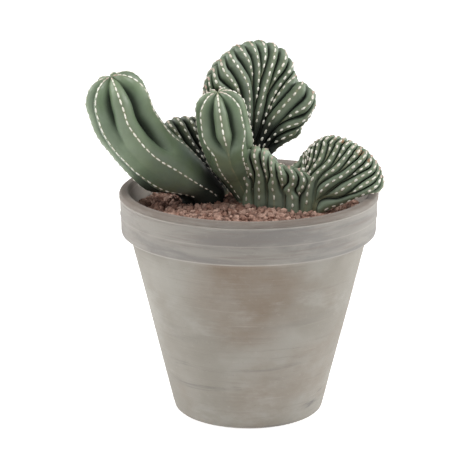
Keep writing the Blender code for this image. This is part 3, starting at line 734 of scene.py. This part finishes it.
def skin_material(name, green, deep, bloom, bloom_share):
    """Waxy mottled skin with bloom low down, painted shade in the valleys and at the feet, a tan line on
    each ridge and scars.
    """
    s = Shader(name, 0.45)
    valley, line, rise, tone = s.marks()
    s.colour = s.mix(s.step(s.noise(55.0, 4.0, 0.55), 0.35, 0.68), green, tuple(v * 1.3 for v in green))
    s.coat(s.times(s.step(tone, 0.0, 1.0, 0.05, 0.35), s.step(valley, 0.45, 0.0)), (0.215, 0.245, 0.15))
    low = s.math("ADD", s.times(s.step(rise, 0.42, 0.04), 0.75), 0.25)
    cloud = s.times(low, s.step(s.noise(38.0, 5.0, 0.6), 0.32, 0.7))
    s.coat(s.times(cloud, bloom_share), bloom)
    # Painted shade in the valleys, strongest at their bottoms where they are deepest
    s.coat(s.step(valley, 0.3, 0.88, 0.0, 0.96), deep)
    s.coat(s.step(s.noise(900.0, 2.0), 0.66, 0.78, 0.0, 0.35), (0.24, 0.27, 0.17))
    s.coat(s.times(line, s.step(s.noise(240.0, 3.0, 0.6), 0.38, 0.62, 0.1, 0.5)), (0.33, 0.3, 0.165))
    rough = s.step(s.noise(130.0, 3.0, 0.6), 0.3, 0.7, 0.34, 0.54)
    rough = s.math("MAXIMUM", rough, s.step(valley, 0.2, 0.8, 0.0, 0.9))
    for centre, radius in SHADES:
        shade = s.times(s.near(centre, radius, SHADE_EDGE), 0.9)
        s.coat(shade, (0.006, 0.009, 0.006))
        rough = s.math("MAXIMUM", rough, shade)
    ragged = s.step(s.noise(420.0, 4.0, 0.7), 0.4, 0.56)
    for centre, radius in SCARS:
        s.coat(s.times(s.near(centre, radius, SCAR_EDGE), ragged), (0.27, 0.15, 0.075))
    cork = s.times(s.step(s.noise(70.0, 5.0, 0.75), 0.7, 0.74), s.step(valley, 0.5, 0.1, 0.0, 0.7))
    s.coat(cork, (0.23, 0.17, 0.09))
    fine = s.bump(s.noise(1400.0, 3.0, 0.6), 0.22, 0.0002)
    return s.finish(s.bump(s.noise(210.0, 4.0, 0.6), 0.28, 0.0007, fine), rough)


def wool_material():
    """Pale felted wool, browner and pinker on the youngest pads."""
    s = Shader("areole_wool", 0.95, 0.2)
    young, tone, _, _ = s.marks()
    s.colour = s.mix(s.step(tone, 0.0, 1.0), (0.93, 0.92, 0.84), (0.82, 0.79, 0.69))
    s.coat(s.times(young, s.step(s.noise(120.0, 2.0), 0.3, 0.6, 0.35, 0.9)), (0.38, 0.225, 0.175))
    fluff = s.noise(2600.0, 3.0, 0.7)
    s.coat(s.step(fluff, 0.3, 0.7, 0.0, 0.2), (0.45, 0.4, 0.32))
    s.fill(s.main, {"Sheen Weight": 0.2})
    return s.finish(s.bump(fluff, 0.6, 0.0004))


def spine_material():
    s = Shader("areole_spines", 0.6, 0.4)
    _, tone, _, _ = s.marks()
    s.colour = s.mix(tone, (0.6, 0.54, 0.44), (0.24, 0.17, 0.12))
    return s.finish(s.bump(s.noise(3000.0, 2.0), 0.2, 0.0001))


# Painted highlights, as pale lines on raised edges round the pot: height, half width and strength
EDGE_HIGHLIGHTS = [(162.3, 0.75, 0.5), (149.3, 0.6, 0.3), (135.6, 0.8, 0.4)]


def clay_material():
    """Weathered grey clay: throwing lines, smears that run round the pot, and a greyer rim."""
    s = Shader("weathered_clay", 0.9, 0.25)
    z = s.node("ShaderNodeSeparateXYZ", {"Vector": s.place}).outputs["Z"]
    patches = s.step(s.noise(16.0, 4.0, 0.55), 0.36, 0.66)
    s.colour = s.mix(patches, (0.22, 0.203, 0.173), (0.268, 0.254, 0.224))
    brown = s.noise(9.0, 5.0, 0.6, s.mapped(1.5, (0.3, 0.1, 0.0)))
    s.coat(s.step(brown, 0.5, 0.72, 0.0, 0.7), (0.185, 0.145, 0.11))
    clouded = s.step(s.noise(24.0, 5.0, 0.65), 0.25, 0.7, 0.35, 0.9)
    s.coat(s.times(s.near((-2.0, -86.0, 112.0), 16.0, 42.0), clouded), (0.172, 0.128, 0.092))
    chalk = s.noise(13.0, 6.0, 0.65, s.mapped(2.2, (0.0, 0.35, 0.6)))
    s.coat(s.step(chalk, 0.52, 0.72, 0.0, 0.6), (0.318, 0.31, 0.28))
    smear = s.noise(10.0, 6.0, 0.62, s.mapped(7.0, (0.0, 0.12, 0.0)), 0.6)
    at_foot = s.step(z, 65.0 * MM, 20.0 * MM, 0.1, 0.85)
    s.coat(s.times(s.step(smear, 0.55, 0.68), at_foot), (0.108, 0.098, 0.096))
    hair = s.noise(14.0, 5.0, 0.7, s.mapped(26.0, (0.0, 0.05, 0.0)))
    s.coat(s.step(hair, 0.56, 0.7, 0.0, 0.24), (0.15, 0.13, 0.114))
    s.coat(s.step(hair, 0.42, 0.3, 0.0, 0.22), (0.35, 0.33, 0.298))
    on_band = s.step(z, 133.5 * MM, 136.0 * MM)
    rim_cloud = s.noise(15.0, 6.0, 0.62, s.mapped(5.0, (0.0, 0.06, 0.0)), 0.5)
    rim = s.mix(s.step(rim_cloud, 0.4, 0.64), (0.262, 0.25, 0.228), (0.178, 0.168, 0.161))
    rim = s.mix(s.step(hair, 0.5, 0.66, 0.0, 0.6), rim, (0.19, 0.16, 0.145))
    s.coat(s.times(on_band, 0.78), rim)
    # Painted shade: the rim's top, from about 162.5 mm up, is coated browner and less bright, as little
    # light
    # falls on it from above, and more so at the lip's top edge from 165.5 mm
    rim_top_shade = s.step(s.noise(30.0, 4.0, 0.6, s.mapped(6.0)), 0.3, 0.65, 0.35, 0.9)
    s.coat(s.times(s.step(z, 162.2 * MM, 162.8 * MM), rim_top_shade), (0.148, 0.121, 0.101))
    s.coat(s.step(z, 165.5 * MM, 166.4 * MM, 0.0, 0.6), (0.12, 0.092, 0.073))
    # Painted light: the pot's inside wall above the band's foot is coated a lighter clay
    from_axis = s.distance(s.mapped(0.0), (POT_AXIS_X * MM, 0.0, 0.0))
    s.coat(s.times(s.step(from_axis, 88.5 * MM, 87.2 * MM, 0.0, 0.85), on_band), (0.305, 0.279, 0.25))
    # Painted highlights along the raised edges
    for height, half, share in EDGE_HIGHLIGHTS:
        off = s.math("ABSOLUTE", s.math("SUBTRACT", z, height * MM))
        s.coat(s.step(off, half * MM, half * 0.4 * MM, 0.0, share), (0.375, 0.35, 0.315))
    s.coat(s.step(s.noise(900.0, 3.0, 0.6), 0.34, 0.24, 0.0, 0.6), (0.13, 0.11, 0.095))
    s.coat(s.step(s.noise(420.0, 2.0), 0.62, 0.78, 0.0, 0.14), (0.37, 0.35, 0.318))
    s.fill(s.main, {"Sheen Weight": 0.12})
    sand = s.bump(s.noise(2200.0, 3.0, 0.6), 0.35, 0.0002)
    turning = s.bump(s.noise(12.0, 4.0, 0.6, s.mapped(42.0)), 0.32, 0.0012, sand)
    return s.finish(turning, s.step(s.noise(60.0), 0.3, 0.7, 0.82, 0.96))


def grit_material():
    """Porous reddish-brown lava, each grain with its own tone."""
    s = Shader("lava_grit", 0.95, 0.2)
    tone, second, _, _ = s.marks()
    s.colour = s.mix(s.step(tone, 0.0, 1.0), (0.31, 0.172, 0.129), (0.58, 0.385, 0.31))
    s.coat(s.step(second, 0.78, 0.96, 0.0, 0.75), (0.125, 0.07, 0.055))
    pores = s.cells(1500.0)
    s.coat(s.step(pores, 0.42, 0.12, 0.0, 0.65), (0.06, 0.035, 0.028))
    s.coat(s.step(s.noise(1100.0, 3.0, 0.6), 0.55, 0.72, 0.0, 0.4), (0.44, 0.31, 0.255))
    rough = s.bump(s.noise(1700.0, 4.0, 0.7), 0.8, 0.0006)
    return s.finish(s.bump(pores, 0.7, 0.0006, rough))


def soil_material():
    s = Shader("potting_soil", 0.98, 0.15)
    crumbs = s.noise(420.0, 5.0, 0.7)
    s.colour = s.mix(s.step(crumbs, 0.35, 0.65), (0.022, 0.015, 0.011), (0.075, 0.052, 0.037))
    return s.finish(s.bump(crumbs, 0.9, 0.0015))


# The pot's edges, as points inward and down from the rim's top corner, inward and up from the band's foot,
# inward and up from the foot's corner, and outward and up from the drainage hole's lower edge
RIM_EDGE = [(6.9, 0.25), (6, 0), (3.4, 0), (1.7, 0.35), (0.7, 1.2), (0.2, 2.4), (0.25, 3.3), (0.75, 3.6),
            (0.2, 4.1), (0.2, 4.5), (0.85, 4.9)]
BAND_EDGE = [(0, 2.2), (0.3, 1), (1.1, 0.3), (2.6, 0), (4.7, 0.1), (5.3, -0.3), (5.4, -0.9), (6.2, -1.7)]
FOOT_EDGE = [(0, 2.4), (0.5, 1), (1.4, 0.25), (2.6, 0), (20, 0)]
DRAIN_EDGE = [(1.4, 0), (0.4, 0.4), (0, 1.4), (0, FLOOR - 1), (1, FLOOR)]

# A bead round the band and the groove under it: height, rise and width. The wall's unevenness: size, and
# fineness round the pot and up it
BAND_WAVES = [(149.3, 0.42, 0.8), (147.6, -0.3, 1.0)]
WALL_WAVES = [(0.3, 1.1, 0.018), (0.14, 7.0, 0.2)]


def inner_radius(height):
    """The pot's inside radius at a height."""
    body = BODY_TOP_RADIUS - WALL
    heights = [FLOOR, FLOOR + 2.0, POT_HEIGHT - BAND_HEIGHT - 4.0, POT_HEIGHT - 18.0, POT_HEIGHT - 2.0]
    radii = [FOOT_RADIUS - WALL - 1.5, FOOT_RADIUS - WALL + 0.4, body, body + 5.0, LIP_RADIUS]
    return float(np.interp(height, heights, radii))


def pot_profile():
    """Radius and height round the pot's wall: down the outside, under the foot and up the inside."""
    band_foot = POT_HEIGHT - BAND_HEIGHT
    band_top_radius = RIM_RADIUS - 0.6
    rows = [(RIM_RADIUS - inward, POT_HEIGHT - down) for inward, down in RIM_EDGE]
    for height in np.arange(160.5, 138.0, -BAND_STEP):
        radius = band_top_radius + (BAND_FOOT_RADIUS - band_top_radius) * (POT_HEIGHT - height) / BAND_HEIGHT
        radius += sum(rise * exp(-((height - place) / width) ** 2) for place, rise, width in BAND_WAVES)
        rows.append((radius, height))
    rows += [(BAND_FOOT_RADIUS - inward, band_foot + up) for inward, up in BAND_EDGE]
    for height in np.arange(band_foot - 4.0, 4.0, -BODY_STEP):
        share = (height - 2.0) / (band_foot - 4.0)
        rows.append((FOOT_RADIUS + (BODY_TOP_RADIUS - FOOT_RADIUS) * share, height))
    rows += [(FOOT_RADIUS - inward, up) for inward, up in FOOT_EDGE]
    rows += [(DRAIN_RADIUS + outward, up) for outward, up in DRAIN_EDGE]
    heights = [FLOOR, FLOOR + 2, 50, 90, band_foot - 4, 140, 145, POT_HEIGHT - 18, 152, 155, 158, 161, 163]
    rows += [(inner_radius(height), height) for height in heights]
    return rows + [(LIP_RADIUS - 0.25, POT_HEIGHT - 1.9), (LIP_RADIUS, POT_HEIGHT - 0.9)]


def build_pot(surface):
    rows = pot_profile()
    points, faces = [], []
    for angle in ring_angles(POT_COLUMNS):
        heading = Vector((cos(angle), sin(angle), 0.0))
        for radius, height in rows:
            if radius > DRAIN_RADIUS + 20.0 and height > 0.5:
                radius += sum(size * noise.noise(heading * around + Vector((0.0, 0.0, height * up)))
                              for size, around, up in WALL_WAVES)
            points.append((heading.x * radius, heading.y * radius, height))
    for k, following in ring_pairs(POT_COLUMNS):
        a, b = k * len(rows), following * len(rows)
        faces += [[a + r, a + s, b + s, b + r] for r, s in ring_pairs(len(rows))]
    add_piece("clay_pot", points, faces, None, surface, "clay", "pot")


def grit_height(x, y):
    """The top of the grit bed, with soft mounds."""
    outer = inner_radius(GRIT_WALL_TOP) - GAP
    fall = (GRIT_WALL_TOP - GRIT_CENTRE_TOP) * (hypot(x, y) / outer) ** 2
    return GRIT_CENTRE_TOP + fall + MOUND * noise.noise(Vector((x * 0.045, y * 0.045, 3.0))) - MOUND


def build_grit_bed(surface):
    """The bed under the loose grains, closed underneath."""
    outer = inner_radius(GRIT_WALL_TOP) - GAP
    low = SOIL_TOP + GAP
    points, faces, marks = [(0.0, 0.0, grit_height(0.0, 0.0))], [], [(0.4, 0.5, 0.0, 1.0)]
    draw = random.Random(SEED)
    for ring in range(1, BED_RINGS + 1):
        radius = outer * ring / BED_RINGS
        for angle in ring_angles(BED_COLUMNS):
            x, y = radius * cos(angle), radius * sin(angle)
            rough = BED_BUMP * noise.noise(Vector((x * 0.45, y * 0.45, 1.0)))
            points.append((x, y, grit_height(x, y) + rough))
            marks.append((draw.uniform(0.1, 0.6), draw.random(), 0.0, 1.0))
    foot = inner_radius(low) - GAP
    for angle in ring_angles(BED_COLUMNS):
        points.append((foot * cos(angle), foot * sin(angle), low))
        marks.append((0.3, 0.5, 0.0, 1.0))
    for k, following in ring_pairs(BED_COLUMNS):
        faces.append([0, 1 + k, 1 + following])
        for ring in range(BED_RINGS):
            a, b = 1 + ring * BED_COLUMNS, 1 + (ring + 1) * BED_COLUMNS
            faces.append([a + k, b + k, b + following, a + following])
    last = 1 + BED_RINGS * BED_COLUMNS
    faces.append([last + k for k in range(BED_COLUMNS)][::-1])
    add_piece("grit_bed", points, faces, marks, surface, "lava_grit", "grit")


def ball():
    """Points and triangles of a round-edged solid with even faces: one of twenty sides, split once."""
    gold = (1.0 + sqrt(5.0)) / 2.0
    points = [unit(np.roll((0.0, a, b), k)) for k in range(3) for a in (-1.0, 1.0) for b in (-gold, gold)]
    middles, finer = {}, []
    for trio in itertools.combinations(range(12), 3):
        a, b, c = (points[k] for k in trio)
        if max(np.linalg.norm([a - b, b - c, c - a], axis=1)) > 1.1:
            continue
        a, b, c = trio if np.cross(a, b) @ c > 0 else trio[::-1]
        halves = []
        for pair in ((a, b), (b, c), (c, a)):
            key = tuple(sorted(pair))
            if key not in middles:
                middles[key] = len(points)
                points.append(unit(points[pair[0]] + points[pair[1]]))
            halves.append(middles[key])
        ab, bc, ca = halves
        finer += [(a, ab, ca), (b, bc, ab), (c, ca, bc), (ab, bc, ca)]
    return np.array(points), finer


def build_grains(stems, surface):
    """Loose crumbly grains over the bed, clear of the stems' necks, in two pieces."""
    draw = random.Random(SEED + 5)
    corners, sides = ball()
    outer = inner_radius(GRIT_WALL_TOP) - 1.2
    necks = [stem.neck() for stem in stems]
    heaps = [Heap(), Heap()]
    for number in range(GRAIN_COUNT):
        spin = number * pi * (3.0 - sqrt(5.0))
        radius = outer * sqrt((number + 0.5) / GRAIN_COUNT)
        x = radius * cos(spin) + draw.uniform(-1.0, 1.0)
        y = radius * sin(spin) + draw.uniform(-1.0, 1.0)
        size = draw.choice(GRAIN_SIZES) * draw.uniform(0.85, 1.15)
        if number % BIG_GRAIN_EVERY == 0:
            size *= 1.35
        inward = min((outer - size * 0.75) / hypot(x, y), 1.0)
        x, y = x * inward, y * inward
        if any(np.hypot(points[:, 0] - x, points[:, 1] - y).min() < reach - 1.5 for points, reach in necks):
            continue
        turn, _ = np.linalg.qr(np.array([draw.gauss(0, 1) for _ in range(9)]).reshape(3, 3))
        squash = np.array([draw.uniform(0.8, 1.2), draw.uniform(0.75, 1.1), draw.uniform(0.6, 0.95)])
        lift = draw.uniform(0.15, 0.55) * size
        if number % HIGH_GRAIN_EVERY == 0:
            lift += draw.uniform(0.8, 2.0)
        centre = np.array([x, y, grit_height(x, y) + lift])
        shift = Vector((number * 3.7, number * 1.3, 0.0))
        points = []
        for corner in corners:
            place = Vector(corner)
            rough = 1.0 + 0.7 * noise.noise(place * 1.7 + shift) + 0.35 * noise.noise(place * 4.3 + shift)
            points.append(centre + (turn @ (corner * rough * squash)) * size)
        heaps[number % 2].add(points, sides, (draw.random(), draw.random(), 0.0, 1.0))
    for name, heap in zip(("grit_grains_a", "grit_grains_b"), heaps):
        heap.build(name, surface, "lava_grit")


def stations(rise_steps, round_steps):
    """Rings from the root to the tip, evenly spaced up the rib and round its end."""
    return [-1.0, -0.35, -0.12, *np.linspace(0.0, 1.0, rise_steps), *np.linspace(1.0, 2.0, round_steps)[1:]]


# Each skin's green, the near-black green of the painted shade in its valleys, its bloom and the bloom's
# share
# The skins are copies of one green, made lighter and deeper to paint light and shade on whole stems:
# the lit front and low crests get the lightest, and the small crest, in the others' shade, a dim one
SKINS = {"light": ((0.096, 0.138, 0.075), (0.016, 0.026, 0.014), (0.116, 0.15, 0.134), 0.85),
         "mid": ((0.093, 0.127, 0.08), (0.003, 0.005, 0.003), (0.115, 0.14, 0.122), 0.6),
         "fresh": ((0.132, 0.176, 0.114), (0.003, 0.005, 0.003), (0.14, 0.168, 0.146), 0.6),
         "front": ((0.162, 0.212, 0.14), (0.004, 0.006, 0.004), (0.165, 0.198, 0.172), 0.6),
         "shaded": ((0.042, 0.055, 0.036), (0.002, 0.003, 0.002), (0.07, 0.085, 0.075), 0.5)}


def build_stems():
    skins = {name: skin_material("skin_" + name, *colours) for name, colours in SKINS.items()}
    wool, spine = wool_material(), spine_material()
    column = Column(LEFT_SPINE, cells=7, first_angle=9.0, twist=42.0, dome=21.5, depth=8.0,
                    weight_at=wide_right_face, keep_at=uneven_valleys)
    club = Column(CLUB_SPINE, cells=7, first_angle=0.0, twist=0.0, dome=16.5, depth=6.8,
                  weight_at=short_middle_rib, keep_at=blunt_valleys)
    small = Crest(SMALL_GROWTH, SMALL_FOOT, cells=10, half_foot=5.5, half_top=7.0, crown=8.0, depth=4.6,
                  seed=SEED)
    tall = Crest(TALL_GROWTH, TALL_FOOT, cells=20, half_foot=7.5, half_top=7.5, crown=8.5, depth=4.8,
                 seed=SEED + 3, widths=((0.0, 0.6), (0.22, 0.65), (0.42, 1.15), (1.0, 1.2)))
    front = Crest(FRONT_GROWTH, FRONT_FOOT, cells=10, half_foot=6.5, half_top=6.0, crown=7.0, depth=4.4,
                  seed=SEED + 2, forks=FRONT_FORKS)
    low = Crest(LOW_GROWTH, LOW_FOOT, cells=17, half_foot=7.0, half_top=6.5, crown=7.5, depth=4.4,
                seed=SEED + 3, forks=LOW_FORKS, widths=((0.0, 2.2), (0.14, 1.0), (0.6, 0.95), (1.0, 1.25)))
    by_column = Spacing(young=3.2, grown=5.3, reach=24.0)
    by_crest = Spacing(young=3.3, grown=6.0, reach=16.0)
    column_rings = stations(80, 30)[:-1]
    # Each stem takes the skin copy that paints its light and shade
    spots = grow_stem("left_column", column, column_rings, 18, by_column, 21, skins["light"], "left_clump")
    spots += grow_stem("small_crest", small, stations(56, 18), 10, by_crest, 22, skins["shaded"])
    grow_areoles("left_areoles", spots, 31, wool, spine)
    spots = grow_stem("tall_crest", tall, stations(72, 20), 12, by_crest, 23, skins["mid"], "right_clump")
    spots += grow_stem("club_stem", club, column_rings, 16, by_column, 24, skins["light"])
    grow_areoles("tall_areoles", spots, 32, wool, spine)
    spots = grow_stem("front_crest", front, stations(48, 18), 12, by_crest, 25, skins["front"])
    spots += grow_stem("low_crest", low, stations(64, 18), 12, by_crest, 26, skins["fresh"])
    grow_areoles("low_areoles", spots, 33, wool, spine)
    return [column, small, club, tall, front, low]


def build_world():
    """A white backdrop that lights from both sides more than from the front, as two big softboxes do."""
    world = bpy.data.worlds.new("studio")
    world.use_nodes = True
    w = Nodes(world.node_tree)
    place = w.node("ShaderNodeTexCoord", {}).outputs["Generated"]
    sideways = w.math("ABSOLUTE", w.node("ShaderNodeSeparateXYZ", {"Vector": place}).outputs["X"])
    strength = w.step(sideways, 0.15, 0.85, FRONT_LIGHT, SIDE_LIGHT)
    light = w.fill(w.tree.nodes["Background"], {"Color": WHITE, "Strength": strength})
    backdrop = w.node("ShaderNodeBackground", {"Color": WHITE})
    seen = w.node("ShaderNodeLightPath", {}).outputs["Is Camera Ray"]
    both = w.node("ShaderNodeMixShader", {"Fac": seen, 1: light.outputs["Background"],
                                          2: backdrop.outputs["Background"]})
    w.fill(w.tree.nodes["World Output"], {"Surface": both.outputs["Shader"]})
    bpy.context.scene.world = world


def build_stage():
    """A pale glowing floor and three soft lamps: one over either shoulder and one above."""
    mesh = bpy.data.meshes.new("floor")
    mesh.from_pydata([(-3, -3, 0), (3, -3, 0), (3, 3, 0), (-3, 3, 0)], [], [[0, 1, 2, 3]])
    s = Shader("pale_floor", 0.9)
    s.fill(s.main, {"Base Color": (0.9, 0.9, 0.9, 1.0), "Emission Color": WHITE,
                    "Emission Strength": FLOOR_GLOW})
    mesh.materials.append(s.surface)
    add_object("floor", mesh)
    for name, place, size, power in LAMPS:
        light = bpy.data.lights.new(name, "AREA")
        light.size = size
        light.energy = power
        lamp = add_object(name, light)
        lamp.location = place
        aim = Vector((0.0, 0.0, 0.15)) - Vector(place)
        lamp.rotation_euler = aim.to_track_quat("-Z", "Y").to_euler()


def build_camera():
    """The photograph's view: from a little above, along +Y."""
    tilt = radians(CAMERA_TILT)
    camera = bpy.data.cameras.new("camera")
    camera.sensor_width = 36.0
    camera.lens = LENS
    camera.clip_end = 20.0
    eye = add_object("camera", camera)
    away = np.array([0.0, -cos(tilt), sin(tilt)]) * CAMERA_DISTANCE
    eye.location = to_world(CAMERA_AIM + away)
    eye.rotation_euler = (pi / 2.0 - tilt, 0.0, 0.0)
    bpy.context.scene.camera = eye


build_camera()
build_world()
build_stage()
bpy.context.scene.view_settings.view_transform = "Standard"
build_pot(clay_material())
grit = grit_material()
build_grit_bed(grit)
stems = build_stems()
build_grains(stems, grit)
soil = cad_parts["soil"]
soil.data.materials.clear()
soil.data.materials.append(soil_material())
